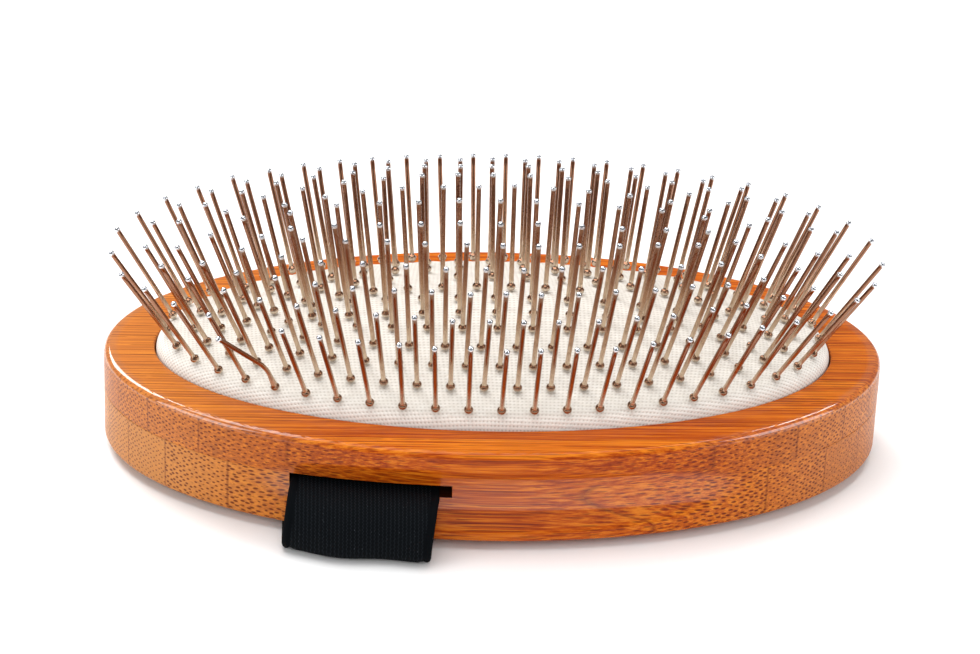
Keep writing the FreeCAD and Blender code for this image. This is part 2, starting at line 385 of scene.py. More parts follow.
def webbing(name, settings):
    """Black elastic webbing with fine columns of stitches between bound edges."""
    finish = Finish(name)
    x, y, z = finish.place()
    from_edge = finish.node("ShaderNodeAttribute", {"attribute_name": "along"}, {}, "Fac")
    band = settings.edge_band / MM
    inner = finish.ease(from_edge, band * 0.95, band * 1.05)

    # Stitches, set half a pitch on from one column to the next
    wander = finish.noise((x, y, z), (0.4, 0.4, 0.4))
    shift = finish.maths("FLOOR", x / settings.column_pitch) * 0.5
    column = finish.wave(x, settings.column_pitch)
    stitch_wave = finish.wave((y + z) / settings.stitch_pitch + shift + wander * 0.6, 1.0)
    raised = finish.ease(column, -0.4, 0.9) * finish.ease(stitch_wave, -0.6, 0.9) * inner

    # Greyish specks on the raised stitches
    greyish = finish.noise((x, y, z), (2.6, 2.6, 2.6), 2.0, 0.7)
    fleck = finish.ease(greyish, 0.6, 0.78) * raised
    # Painted shade: the black between the stitches is darker than the raised stitches
    dark = finish.blend(raised, opaque(settings.dark), opaque(settings.raised))
    flecked = finish.blend(fleck * 0.7, dark, opaque(settings.fleck))
    return finish.surface(
        base_color=flecked,
        roughness=0.82 - inner * 0.06,
        specular_ior_level=0.06,
        normal=finish.relief(raised + wander * 0.4, 0.7, 0.16 * MM),
    )


def plain(name, colour):
    """Even matt surface for the stage."""
    return Finish(name).surface(base_color=opaque(colour), roughness=0.6)


# Mesh helpers


def make_object(name, points, faces, material, crease=None, along=None):
    """Smooth-shaded object from points and faces, with a value at each point if given."""
    mesh = bpy.data.meshes.new(name)
    mesh.from_pydata(points, [], faces)
    if along is not None:
        values = mesh.attributes.new("along", "FLOAT", "POINT")
        values.data.foreach_set("value", along)
    mesh.validate()
    mesh.polygons.foreach_set("use_smooth", [True] * len(mesh.polygons))
    if crease is not None:
        mesh.set_sharp_from_angle(angle=math.radians(crease))
    mesh.materials.append(material)
    made = bpy.data.objects.new(name, mesh)
    bpy.context.scene.collection.objects.link(made)
    return made


def stitch(rows, start):
    """Faces between closed rows of points, numbered from start."""
    count = len(rows[0])
    faces = []
    for r in range(len(rows) - 1):
        low = start + r * count
        for i in range(count):
            j = (i + 1) % count
            faces.append((low + i, low + j, low + count + j, low + count + i))
    return faces


def capped(rows, start=0):
    """Faces of a tube between closed rows of points, with both its ends."""
    count = len(rows[0])
    last = start + (len(rows) - 1) * count
    faces = stitch(rows, start)
    faces.append(tuple(reversed(range(start, start + count))))
    faces.append(tuple(range(last, last + count)))
    return faces


def angles_round(count):
    """Even angles once round a circle."""
    return [2 * math.pi * i / count for i in range(count)]


def carve(made, cutter):
    """Cut one object out of another and keep the result as plain mesh."""
    tool = made.modifiers.new("cut", "BOOLEAN")
    tool.operation = "DIFFERENCE"
    tool.solver = "EXACT"
    tool.object = cutter
    bpy.context.view_layer.update()
    solved = made.evaluated_get(bpy.context.evaluated_depsgraph_get())
    cut = bpy.data.meshes.new_from_object(solved)
    made.modifiers.clear()
    made.data = cut
    bpy.data.objects.remove(cutter)
    made.data.set_sharp_from_angle(angle=math.radians(BOARD_CREASE))


def block(name, low, high):
    """Plain box used as a cutting tool."""
    low_x, low_y, low_z = low
    high_x, high_y, high_z = high
    corners = [(low_x, low_y), (high_x, low_y), (high_x, high_y), (low_x, high_y)]
    points = [(x, y, z) for z in (low_z, high_z) for x, y in corners]
    faces = [(3, 2, 1, 0), (4, 5, 6, 7), (0, 1, 5, 4), (1, 2, 6, 5), (2, 3, 7, 6), (3, 0, 4, 7)]
    mesh = bpy.data.meshes.new(name)
    mesh.from_pydata(points, [], faces)
    made = bpy.data.objects.new(name, mesh)
    bpy.context.scene.collection.objects.link(made)
    return made


# Body

# Seeds of the strips' tones
LOWER_SEED = 3.0
UPPER_SEED = 41.0


def wall_y(x):
    """Distance of the plain side wall from the long axis at one x."""
    return LOWER_HIGH.y * math.sqrt(1 - (x / UPPER_HIGH.x) ** 2)


def smooth_min(first, second, softness):
    """Lesser of two values with a soft change between them."""
    mix = max(0.0, min(1.0, 0.5 + 0.5 * (second - first) / softness))
    return second + (first - second) * mix - softness * mix * (1.0 - mix)


def wall_point(settings, angle, inset, height):
    """Point on the side wall of the body, finger groove included."""
    half_x = UPPER_HIGH.x
    half_y = LOWER_HIGH.y
    x = half_x * math.cos(angle)
    y = half_y * math.sin(angle)
    length = math.hypot(half_y * math.cos(angle), half_x * math.sin(angle))
    x -= inset * half_y * math.cos(angle) / length
    y -= inset * half_x * math.sin(angle) / length
    reach = settings.groove_half_length
    end_y = wall_y(reach)
    floor_y = half_y - settings.groove_depth
    sag = floor_y - end_y
    floor_radius = (reach ** 2 + sag ** 2) / (2 * sag)
    rise = abs(height - settings.groove_height)
    tool = settings.groove_radius
    if rise < tool:
        ring = floor_radius + tool - math.sqrt(tool ** 2 - rise ** 2)
        if abs(x) < ring:
            scooped = floor_y - floor_radius + math.sqrt(ring ** 2 - x ** 2)
            y = math.copysign(smooth_min(abs(y), max(scooped, 0.0), settings.groove_softness), y)
    return (x, y, height)


def wall_rows(settings, levels):
    """Closed rows of the wall at given insets and heights."""
    rows = []
    around = angles_round(settings.steps_round)
    for inset, height in levels:
        rows.append([wall_point(settings, angle, inset, height) for angle in around])
    return rows


def rounded_edge(radius, count, base, turn_up):
    """Insets and heights of a rounded edge that ends on the flat."""
    levels = []
    for i in range(count + 1):
        turn = math.pi / 2 * i / count
        inset = radius * (1 - math.cos(turn))
        lift = radius * math.sin(turn)
        levels.append((inset, base + lift if turn_up else base - lift))
    return levels


def even_levels(low, high, count):
    """Heights of a plain stretch of wall, without its ends."""
    return [(0.0, low + (high - low) * i / count) for i in range(1, count)]


def build_lower_ply(settings, material):
    """Thick ply with the strap slots cut into it."""
    low = LOWER_LOW.z
    high = LOWER_HIGH.z
    radius = settings.under_round
    line = settings.glue_line
    levels = list(reversed(rounded_edge(radius, UNDER_ROWS, low + radius, False)))
    levels += even_levels(low + radius, high - line, LOWER_WALL_ROWS)
    levels += [(0.0, high - line), (line, high)]
    rows = wall_rows(settings, levels)
    made = make_object("lower_ply", [p for row in rows for p in row], capped(rows), material)
    left = settings.slot_centre - settings.slot_width / 2
    right = settings.slot_centre + settings.slot_width / 2
    near = wall_y(settings.slot_centre) - settings.slot_run_in
    far = LOWER_HIGH.y + 2 * MM
    floor = high - SLOT_HEIGHT
    past_top = high + 1 * MM
    for start_y, end_y in ((-far, -near), (near, far)):
        carve(made, block("slot_tool", (left, start_y, floor), (right, end_y, past_top)))
    return made


def build_upper_ply(settings, material):
    """Rim ply with its rounded outer edge and eased mouth."""
    low = UPPER_LOW.z
    high = UPPER_HIGH.z
    radius = settings.edge_round
    line = settings.glue_line
    levels = [(line, low), (0.0, low + line)]
    levels += even_levels(low + line, high - radius, UPPER_WALL_ROWS)
    levels += rounded_edge(radius, RIM_ROWS, high - radius, True)
    rows = wall_rows(settings, levels)
    ease = settings.mouth_round
    inner = []
    for i in range(MOUTH_ROWS + 1):
        turn = math.pi / 2 * i / MOUTH_ROWS
        inner.append((ease * (1 - math.sin(turn)), high - ease * (1 - math.cos(turn))))
    inner += [(0.0, low + 1 * MM), (0.0, low)]
    for out, height in inner:
        row = []
        for angle in angles_round(settings.steps_round):
            x = (MOUTH_X + out) * math.cos(angle)
            y = (MOUTH_Y + out) * math.sin(angle)
            row.append((x, y, height))
        rows.append(row)
    points = [p for row in rows for p in row]
    # The last row joins the first, so that the ply closes into a ring
    faces = []
    for face in stitch(rows + rows[:1], 0):
        faces.append(tuple(corner % len(points) for corner in face))
    return make_object("upper_ply", points, faces, material, BOARD_CREASE)


# Cushion and pins


def pad_height(settings, x, y):
    """Height of the domed cloth, rounded off at its edge."""
    out = min(1.0, math.hypot(x / PAD_HIGH.x, y / PAD_HIGH.y))
    dome = settings.shoulder + (settings.rise - settings.shoulder) * (1 - out ** settings.swell)
    past = max(0.0, (out - settings.edge_start) / (1 - settings.edge_start))
    keep = math.sqrt(1 - past ** 2)
    return UPPER_HIGH.z + dome * keep - settings.edge_drop * (1 - keep)


def oval_point(half_x, half_y, squareness, turn):
    """Point on a more or less square oval, turned from its front middle."""
    across = math.sin(turn)
    along = -math.cos(turn)
    x = half_x * math.copysign(abs(across) ** (2 / squareness), across)
    y = half_y * math.copysign(abs(along) ** (2 / squareness), along)
    return (x, y)


def ring_points(half_x, half_y, squareness, count, start):
    """Evenly spaced points along an oval, counted in pitches from its front middle."""
    steps = 3600
    outline = []
    for i in range(steps + 1):
        outline.append(oval_point(half_x, half_y, squareness, 2 * math.pi * i / steps))
    lengths = [0.0]
    for before, after in zip(outline, outline[1:]):
        lengths.append(lengths[-1] + math.dist(before, after))
    points = []
    i = 0
    for k in range(count):
        want = lengths[-1] * (k + start) / count
        while lengths[i + 1] < want:
            i += 1
        part = (want - lengths[i]) / (lengths[i + 1] - lengths[i])
        x = outline[i][0] + part * (outline[i + 1][0] - outline[i][0])
        y = outline[i][1] + part * (outline[i + 1][1] - outline[i][1])
        points.append((x, y))
    return points


# The six rings of pins from the outside in, as shares of the mouth
RING_NODES = ["pins_ring_" + str(number) for number in range(1, 6)] + ["pins_centre_row"]
RING_COUNTS = [49, 43, 38, 31, 27, 22]
RING_STARTS = [0.0, 0.5, 0.0, 0.5, 0.0, 0.0]
RING_SHARES_X = [0.953, 0.875, 0.809, 0.730, 0.657, 0.574]
RING_SHARES_Y = [0.952, 0.785, 0.615, 0.444, 0.260, 0.090]
RING_SQUARENESS = [2.0, 2.0, 2.0, 2.0, 2.0, 3.5]
BENT_RING = 0
BENT_NUMBER = 42


def pin_places():
    """Feet of the pins, ring by ring."""
    groups = []
    for number, count in enumerate(RING_COUNTS):
        half_x = MOUTH_X * RING_SHARES_X[number]
        half_y = MOUTH_Y * RING_SHARES_Y[number]
        groups.append(ring_points(half_x, half_y, RING_SQUARENESS[number], count, RING_STARTS[number]))
    return groups


def pin_direction(settings, x, y):
    """Unit vector along a pin, leaning outwards more towards the edge."""
    share_x = abs(x) / (MOUTH_X * RING_SHARES_X[0])
    share_y = abs(y) / (MOUTH_Y * RING_SHARES_Y[0])
    lean_x = math.copysign(settings.lean_at_ends * share_x ** settings.lean_power_x, x)
    lean_y = math.copysign(settings.lean_at_sides * share_y ** settings.lean_power_y, y)
    return Vector((lean_x, lean_y, math.sqrt(1 - lean_x ** 2 - lean_y ** 2)))


def sorted_feet(cell):
    """Feet of all pins by square cell, so that the near ones are found fast."""
    grid = {}
    for group in pin_places():
        for x, y in group:
            grid.setdefault((math.floor(x / cell), math.floor(y / cell)), []).append((x, y))
    return grid


def dip_at(settings, grid, cell, x, y):
    """How far the pins near one place draw the cloth down."""
    cell_x = math.floor(x / cell)
    cell_y = math.floor(y / cell)
    pull = 0.0
    for near_x in range(cell_x - 1, cell_x + 2):
        for near_y in range(cell_y - 1, cell_y + 2):
            for foot_x, foot_y in grid.get((near_x, near_y), []):
                away = math.hypot(x - foot_x, y - foot_y) / settings.dip_radius
                pull += math.exp(-away * away)
    return settings.dip_depth * min(pull, settings.dip_limit)


def build_cushion(settings, material):
    """Domed cloth pad with small dips where the pins go in."""
    cell = 4 * MM
    grid = sorted_feet(cell)
    first = 0.004
    edge = settings.edge_start
    outs = [first + (edge - first) * i / settings.steps_out for i in range(settings.steps_out)]
    outs += [edge + (1 - edge) * math.sin(math.pi / 2 * i / HEM_ROWS) for i in range(HEM_ROWS + 1)]
    rows = []
    for out in outs:
        row = []
        for angle in angles_round(settings.steps_round):
            x = PAD_HIGH.x * out * math.cos(angle)
            y = PAD_HIGH.y * out * math.sin(angle)
            row.append((x, y, pad_height(settings, x, y) - dip_at(settings, grid, cell, x, y)))
        rows.append(row)
    for height in (UPPER_HIGH.z - 2 * settings.edge_drop, LOWER_HIGH.z):
        rows.append([(x, y, height) for x, y, z in rows[-1]])
    points = [p for row in rows for p in row]
    faces = [tuple(reversed(face)) for face in stitch(rows, 0)]
    faces.append(tuple(range(settings.steps_round)))
    return make_object("cushion_pad", points, faces, material)


class Tubes:
    """A growing mesh of closed tubes, with each point's share of the way along its pin."""

    def __init__(self):
        self.points = []
        self.faces = []
        self.along = []

    def add(self, stations, length, sides):
        """Add one round tube from its centres, aims, radii and distances along the pin."""
        start = len(self.points)
        rows = []
        for centre, aim, radius, along in stations:
            side_x = Vector((0.0, 1.0, 0.0)).cross(aim).normalized()
            side_y = aim.cross(side_x)
            row = []
            for angle in angles_round(sides):
                out = side_x * math.cos(angle) + side_y * math.sin(angle)
                row.append(centre + out * radius)
            rows.append(row)
            self.points += row
            self.along += [along / length] * sides
        self.faces += capped(rows, start)


def bead_profile(settings):
    """Distances along the pin and radii of the bead at its foot."""
    least = settings.bead_radius * 0.2
    profile = []
    for i in range(BEAD_ROWS + 1):
        turn = math.pi * (0.04 + 0.82 * i / BEAD_ROWS)
        along = settings.bead_height * 0.5 * (1 - math.cos(turn))
        radius = max(settings.bead_radius * math.sin(turn), least)
        if radius > settings.wire_radius or along < settings.bead_height * 0.5:
            profile.append((along, radius))
    return profile


def ball_profile(settings, length):
    """Distances along the pin and radii of the ball on its tip."""
    ball = settings.tip_radius
    least = ball * 0.06
    profile = []
    for i in range(BALL_ROWS + 1):
        turn = math.pi * (0.3 + 0.7 * i / BALL_ROWS)
        profile.append((length - ball * (1 + math.cos(turn)), max(ball * math.sin(turn), least)))
    return profile


def straight_pin(settings, pad, x, y, shake, tubes):
    """One straight pin with its bead and rounded tip."""
    aim = pin_direction(settings, x, y)
    lean = Vector((shake.uniform(-1, 1), shake.uniform(-1, 1), 0.0)) * settings.shake
    foot = Vector((x, y, pad_height(pad, x, y))) + aim * settings.lift
    aim = (aim + lean).normalized()
    length = settings.length * (1 + shake.uniform(-1, 1) * settings.length_shake)
    profile = bead_profile(settings)
    neck = profile[-1][0] + settings.wire_radius * 0.3
    profile.append((neck, settings.wire_radius))
    for i in range(1, WIRE_ROWS):
        profile.append((length * i / WIRE_ROWS, settings.wire_radius))
    profile += ball_profile(settings, length)
    stations = [(foot + aim * along, aim, radius, along) for along, radius in profile]
    tubes.add(stations, length, settings.sides)


def bent_pin(settings, pad, x, y, tubes):
    """The one pin that is bent over part way up, with a rounded knee."""
    first = pin_direction(settings, x, y)
    second = Vector(settings.bent_aim).normalized()
    foot = Vector((x, y, pad_height(pad, x, y))) + first * settings.lift
    knee_at = settings.length * settings.bent_at
    knee = foot + first * knee_at
    reach = settings.knee_reach
    stations = []
    for along, radius in bead_profile(settings):
        stations.append((foot + first * along, first, radius, along))
    start = knee - first * reach
    end = knee + second * reach
    for i in range(KNEE_ROWS + 1):
        part = i / KNEE_ROWS
        centre = start * (1 - part) ** 2 + knee * (2 * part * (1 - part)) + end * part ** 2
        aim = (first * (1 - part) + second * part).normalized()
        stations.append((centre, aim, settings.wire_radius, knee_at + reach * (2 * part - 1)))
    for along, radius in ball_profile(settings, settings.length - knee_at):
        stations.append((knee + second * along, second, radius, knee_at + along))
    tubes.add(stations, settings.length, settings.sides)


# Strap

# Steps along half of the strap, from its end in the slot to its middle under the body
SLOT_STEPS = 6
LOOP_STEPS = 20
TURN_STEPS = 12
UNDER_STEPS = 24


def strap_path(settings, x):
    """Centre line of the strap across the brush at one x, with how far it has dropped."""
    wall = wall_y(x)
    half = settings.thickness / 2
    inside = wall - settings.inner_end
    rise = LOWER_HIGH.z - SLOT_HEIGHT + half + settings.slot_play
    under = STRAP_LOW.z + half
    turn = settings.turn
    reach = settings.loop_reach + settings.wave * math.sin(x * settings.wave_rate)
    to_left = (STRAP_HIGH.x - x) / (STRAP_HIGH.x - STRAP_LOW.x)
    reach -= settings.tuck * max(0.0, to_left) ** settings.tuck_power
    bends = (
        (wall, rise),
        (wall + settings.roll_out, rise + settings.bulge),
        (reach + settings.bulge, under + settings.roll_in),
        (reach, under + turn),
    )
    flat = reach - turn
    line = []
    for i in range(SLOT_STEPS):
        line.append((inside + (wall - inside) * i / SLOT_STEPS, rise, 0.0))
    for i in range(LOOP_STEPS):
        t = i / LOOP_STEPS
        weights = ((1 - t) ** 3, 3 * t * (1 - t) ** 2, 3 * t ** 2 * (1 - t), t ** 3)
        y = sum(weight * bend[0] for weight, bend in zip(weights, bends))
        z = sum(weight * bend[1] for weight, bend in zip(weights, bends))
        line.append((y, z, t))
    for i in range(TURN_STEPS):
        angle = math.pi / 2 * i / TURN_STEPS
        line.append((flat + turn * math.cos(angle), under + turn - turn * math.sin(angle), 1.0))
    for i in range(UNDER_STEPS + 1):
        line.append((flat * (1 - i / UNDER_STEPS), under, 1.0))
    left = [(-y, z, drop) for y, z, drop in line]
    return left + list(reversed(line[:-1]))


def build_strap(settings, material):
    """Woven elastic band from slot to slot round the back of the body."""
    across = settings.steps_across
    inner = [0.93 * (2 * i / across - 1) for i in range(across + 1)]
    edge = [0.96, 0.985, 1.0]
    columns = [-spread for spread in reversed(edge)] + inner + edge
    centre = (STRAP_LOW.x + STRAP_HIGH.x) / 2
    half_width = (STRAP_HIGH.x - STRAP_LOW.x) / 2
    half = settings.thickness / 2
    loops = []
    along = []
    for spread in columns:
        x = centre + half_width * spread
        line = strap_path(settings, x)
        from_edge = (1 - abs(spread)) * half_width
        into = 1 - min(1.0, from_edge / half)
        body = half * (0.15 + 0.85 * math.sqrt(1 - into ** 2))
        from_groove = (from_edge - settings.edge_band) / settings.groove_width
        body -= settings.groove * math.exp(-from_groove ** 2)
        top = []
        bottom = []
        for i, (y, z, drop) in enumerate(line):
            before = line[max(0, i - 1)]
            after = line[min(len(line) - 1, i + 1)]
            step = Vector((0.0, after[0] - before[0], after[1] - before[1])).normalized()
            normal = Vector((0.0, -step.z, step.y))
            here = Vector((x + settings.skew * drop, y, z))
            top.append(here + normal * body)
            bottom.append(here - normal * body)
        loops.append(top + list(reversed(bottom)))
        along += [from_edge / MM] * (2 * len(line))
    points = [p for loop in loops for p in loop]
    return make_object("strap_band", points, capped(loops), material, along=along)


# Settings that a user would change


def size(name, description, default):
    """A length in metres."""
    return FloatProperty(name=name, description=description, default=default, unit="LENGTH", precision=5)


def amount(name, description, default):
    """A plain number."""
    return FloatProperty(name=name, description=description, default=default, precision=4)


def whole(name, description, default):
    """A whole number."""
    return IntProperty(name=name, description=description, default=default)


def triple(name, description, default, subtype):
    """A direction or a place."""
    return FloatVectorProperty(name=name, description=description, default=default, subtype=subtype)


def tint(name, description, default):
    """A colour."""
    kind = {"subtype": "COLOR", "min": 0.0, "max": 1.0}
    return FloatVectorProperty(name=name, description=description, default=default, **kind)


class BodySettings(bpy.types.PropertyGroup):
    """Bamboo body"""

    dark: tint("Dark fibre", "Darkest tone of the bamboo", (0.26, 0.031, 0.001))
    middle: tint("Middle tone", "Main tone of the bamboo", (0.47, 0.083, 0.0025))
    light: tint("Light fibre", "Lightest tone of the bamboo", (0.68, 0.19, 0.01))
    pore: tint("Pores", "Tone of the fibre bundles and glue joints", (0.11, 0.014, 0.003))
    end_tone: tint("End tone", "Paler tone towards the ends", (0.58, 0.25, 0.055))
    lower_fade: amount("Lower end fade", "How pale the lower ply's left end is", 0.75)
    upper_fade: amount("Upper end fade", "How pale the upper ply's left end is", 0.42)
    # Near-black painted shade for the wood deep in the strap slots
    slot_dark: tint("Slot tone", "Tone of the wood in the slots", (0.022, 0.005, 0.002))
    lacquer: amount("Lacquer", "How much clear lacquer covers the bamboo", 1.0)
    lower_joint: amount("Lower joint", "Where the lower ply's front joint lies, in mm", -27.3)
    upper_joint: amount("Upper joint", "Where the upper ply's front joint lies, in mm", -31.4)
    lower_front: amount("Lower front strip", "How much lighter the lower front strip is", 0.5)
    upper_front: amount("Upper front strip", "How much lighter the upper front strip is", 0.26)
    strip_pitch: amount("Strip width", "Width of one bamboo strip in mm", 6.85)
    seam_share: amount("Seam", "Share of a strip that its glue line darkens", 0.026)
    edge_round: size("Edge radius", "Rounding of the top outer edge", 0.0013)
    under_round: size("Under radius", "Rounding of the bottom edge", 0.0011)
    mouth_round: size("Mouth radius", "Easing of the inner rim edge", 0.00035)
    glue_line: size("Glue line", "Easing of the plies where they meet", 0.00008)
    groove_half_length: size("Groove reach", "Half length of a finger groove", 0.0435)
    groove_depth: size("Groove depth", "Depth of a finger groove", 0.0022)
    groove_radius: size("Groove radius", "Radius of a finger groove", 0.009)
    groove_height: size("Groove height", "Height of the groove's middle line", 0.0093)
    groove_softness: size("Groove softness", "How softly a groove runs out", 0.0005)
    slot_width: size("Slot width", "Width of a strap slot", 0.0273)
    slot_centre: size("Slot place", "Middle of the strap slots along the body", -0.0218)
    slot_run_in: size("Slot depth", "How far a strap slot runs in", 0.009)
    steps_round: whole("Steps", "Points round the body", 480)


class CushionSettings(bpy.types.PropertyGroup):
    """Cloth-faced cushion"""

    rise: size("Rise", "Height of the dome over the rim", 0.0078)
    shoulder: size("Shoulder", "Height of the dome near its edge", 0.0024)
    swell: amount("Swell", "Power of the dome's curve", 1.9)
    edge_start: amount("Edge start", "Share of the way out where it rounds off", 0.95)
    edge_drop: size("Edge drop", "How far the cloth's edge sits under the rim", 0.0006)
    dip_depth: size("Dip depth", "Depth of the cloth round each pin", 0.00018)
    dip_radius: size("Dip radius", "Reach of the dip round each pin", 0.0011)
    dip_limit: amount("Dip limit", "How many pins' pull the cloth gives way to", 1.2)
    steps_round: whole("Steps round", "Points round the cushion", 360)
    steps_out: whole("Steps out", "Rows from the middle out", 84)
    thread_high: tint("Thread", "Tone of the woven threads", (0.79, 0.76, 0.71))
    thread_low: tint("Dull thread", "Tone of the duller threads", (0.72, 0.68, 0.62))
    # Paler tone painted near the edge of the dome as light on its shaded slope
    thread_edge: tint("Edge thread", "Tone of the threads at the hem", (0.9, 0.89, 0.84))
    # Painted shade in the gaps between the threads
    gap: tint("Gap", "Tone of the gaps between the threads", (0.47, 0.42, 0.36))
    gap_pitch_x: amount("Gap pitch along", "Spacing of the gaps along the body in mm", 0.78)
    gap_pitch_y: amount("Gap pitch across", "Spacing of the gaps across the body in mm", 0.90)


class PinSettings(bpy.types.PropertyGroup):
    """Wire pins"""

    length: size("Length", "Length of a pin over the cloth", 0.0194)
    wire_radius: size("Wire radius", "Radius of the wire", 0.00042)
    bead_radius: size("Bead radius", "Radius of the bead at the foot", 0.00082)
    bead_height: size("Bead height", "Height of the bead at the foot", 0.0014)
    lift: size("Lift", "How far the bead stands over the cloth", 0.00002)
    lean_at_ends: amount("Lean at ends", "Outward lean of the end pins", 0.53)
    lean_power_x: amount("Lean growth along", "How the lean grows towards the ends", 1.6)
    lean_at_sides: amount("Lean at sides", "Outward lean of the side pins", 0.467)
    lean_power_y: amount("Lean growth across", "How the lean grows towards the sides", 0.7)
    bent_at: amount("Bend place", "Share of the bent pin's length under its knee", 0.323)
    bent_aim: triple("Bend", "Way the bent pin points past its knee", (-0.62, -0.43, 0.66), "DIRECTION")
    sides: whole("Sides", "Points round a wire", 12)
    shake: amount("Unevenness", "How far the pins stray from their lean", 0.017)
    length_shake: amount("Uneven length", "Share by which the pins' lengths stray", 0.006)
    knee_reach: size("Knee reach", "Length of wire in the bent pin's knee", 0.0022)
    tip_radius: size("Tip radius", "Radius of the ball on the tip", 0.00052)
    # Tones painted along the pin as reflections: pale bead and foot mirroring the cloth, dark collar,
    # browner wire towards the tip, and a dark belt round the ball
    bead: tint("Bead", "Tone of the beads", (0.66, 0.57, 0.46))
    collar: tint("Collar", "Tone of the bead round the wire", (0.24, 0.13, 0.08))
    foot: tint("Wire foot", "Tone of the wire near the cloth", (0.67, 0.54, 0.39))
    middle: tint("Wire middle", "Tone of the wire half way up", (0.46, 0.285, 0.18))
    upper: tint("Wire top", "Tone of the wire near its tip", (0.30, 0.15, 0.09))
    tip_belt: tint("Tip belt", "Tone round the middle of the ball", (0.05, 0.055, 0.07))
    tip: tint("Tip", "Tone of the ball on the tip", (0.78, 0.80, 0.84))


class StrapSettings(bpy.types.PropertyGroup):
    """Elastic strap"""

    thickness: size("Thickness", "Thickness of the webbing", 0.0014)
    inner_end: size("Inner end", "How far the strap runs into its slot", 0.007)
    slot_play: size("Slot play", "Height of the strap over the slot's floor", 0.0001)
    loop_reach: size("Loop reach", "How far out the loop stands at its foot", 0.0419)
    roll_out: size("Roll out", "How far the strap leaves its slot level", 0.0035)
    roll_in: size("Roll in", "Height at which the loop hangs straight", 0.0065)
    bulge: size("Bulge", "How far the loop swells past its ends", 0.0002)
    tuck: size("Tuck", "How much nearer the loop's left edge hangs", 0.0038)
    tuck_power: amount("Tuck growth", "How the tuck grows towards the left edge", 2.4)
    turn: size("Turn radius", "Radius of the turn under the body", 0.0023)
    skew: size("Skew", "How far the loop shifts as it drops", -0.0013)
    wave: size("Wave", "Depth of the slight wave along the fold", 0.00035)
    wave_rate: amount("Wave rate", "Radians of the wave in a metre", 420.0)
    edge_band: size("Edge band", "Width of the bound edge", 0.0014)
    groove: size("Edge groove", "Depth of the line beside the bound edge", 0.00028)
    groove_width: size("Groove width", "Half width of that line", 0.00035)
    steps_across: whole("Steps across", "Points across the strap", 60)
    column_pitch: amount("Column pitch", "Spacing of the stitch columns in mm", 0.66)
    stitch_pitch: amount("Stitch pitch", "Spacing of the stitches in mm", 0.8)
    # Painted shade: the black low between the stitches is darker than the stitches
    dark: tint("Black", "Tone between the stitches", (0.0014, 0.0022, 0.0032))
    raised: tint("Raised black", "Tone of the stitches", (0.011, 0.014, 0.0175))
    # Tone of the greyish specks on the raised stitches
    fleck: tint("Lint", "Tone of the lint specks", (0.09, 0.1, 0.115))


class StageSettings(bpy.types.PropertyGroup):
    """Floor, light and camera"""

    floor: tint("Floor", "Tone of the floor", (0.95, 0.95, 0.95))
    lens: amount("Lens", "Focal length in mm on a 36 mm sensor", 134.39)
    eye: triple("Eye", "Place of the camera", (-0.03475, -0.55874, 0.32903), "TRANSLATION")
    look: triple("Look", "Way the camera looks", (0.05311, 0.87567, -0.47997), "DIRECTION")
    roll: FloatProperty(name="Roll", description="Roll of the camera", default=0.04177, subtype="ANGLE")
    sky: amount("Sky light", "Strength of the even light", 0.3)
    key: amount("Key light", "Power of the large lamp overhead", 7.8)
    fill: amount("Front light", "Power of the lamp beside the camera", 2.3)
    side: amount("Side light", "Power of each lamp at the side", 2.4)
    edge_left: amount("Left edge light", "Power of the lamp for the left edge", 5.0)
    edge_right: amount("Right edge light", "Power of the lamp for the right edge", 1.2)


# Operators


class BRUSH_OT_body(bpy.types.Operator):
    """Build the two bamboo plies"""

    bl_idname = "brush.body"
    bl_label = "Bamboo body"

    def execute(self, context):
        settings = context.scene.brush_body
        lower_look = (settings.lower_joint, settings.lower_front, settings.lower_fade, LOWER_SEED)
        upper_look = (settings.upper_joint, settings.upper_front, settings.upper_fade, UPPER_SEED)
        lower_bamboo = bamboo("bamboo_lower", settings, *lower_look)
        upper_bamboo = bamboo("bamboo_upper", settings, *upper_look)
        for made, node in (
            (build_lower_ply(settings, lower_bamboo), "body_lower_ply"),
            (build_upper_ply(settings, upper_bamboo), "body_upper_ply"),
        ):
            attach(made, "root")
            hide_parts(node)
        return {"FINISHED"}


class BRUSH_OT_cushion(bpy.types.Operator):
    """Build the cloth-faced cushion"""

    bl_idname = "brush.cushion"
    bl_label = "Cushion"

    def execute(self, context):
        settings = context.scene.brush_cushion
        made = build_cushion(settings, cloth("cushion_weave", settings))
        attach(made, "root")
        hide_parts("cushion")
        return {"FINISHED"}


class BRUSH_OT_pins(bpy.types.Operator):
    """Build the six rings of pins and the bent pin"""

    bl_idname = "brush.pins"
    bl_label = "Wire pins"

    def execute(self, context):
        settings = context.scene.brush_pins
        pad = context.scene.brush_cushion
        wire_steel = steel("pin_steel", settings)
        shake = random.Random(7)
        pieces = []
        for number, group in enumerate(pin_places()):
            straight = Tubes()
            for place, (x, y) in enumerate(group):
                if number == BENT_RING and place == BENT_NUMBER:
                    bent = Tubes()
                    bent_pin(settings, pad, x, y, bent)
                else:
                    straight_pin(settings, pad, x, y, shake, straight)
            pieces.append((RING_NODES[number], straight))
        pieces.append(("pin_bent", bent))
        for node, tubes in pieces:
            mesh = (tubes.points, tubes.faces, wire_steel, WIRE_CREASE, tubes.along)
            made = make_object("wire_" + node, *mesh)
            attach(made, "root")
            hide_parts(node)
        return {"FINISHED"}


class BRUSH_OT_strap(bpy.types.Operator):
    """Build the elastic strap"""

    bl_idname = "brush.strap"
    bl_label = "Elastic strap"

    def execute(self, context):
        settings = context.scene.brush_strap
        made = build_strap(settings, webbing("elastic_webbing", settings))
        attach(made, "root")
        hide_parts("hand_strap")
        return {"FINISHED"}


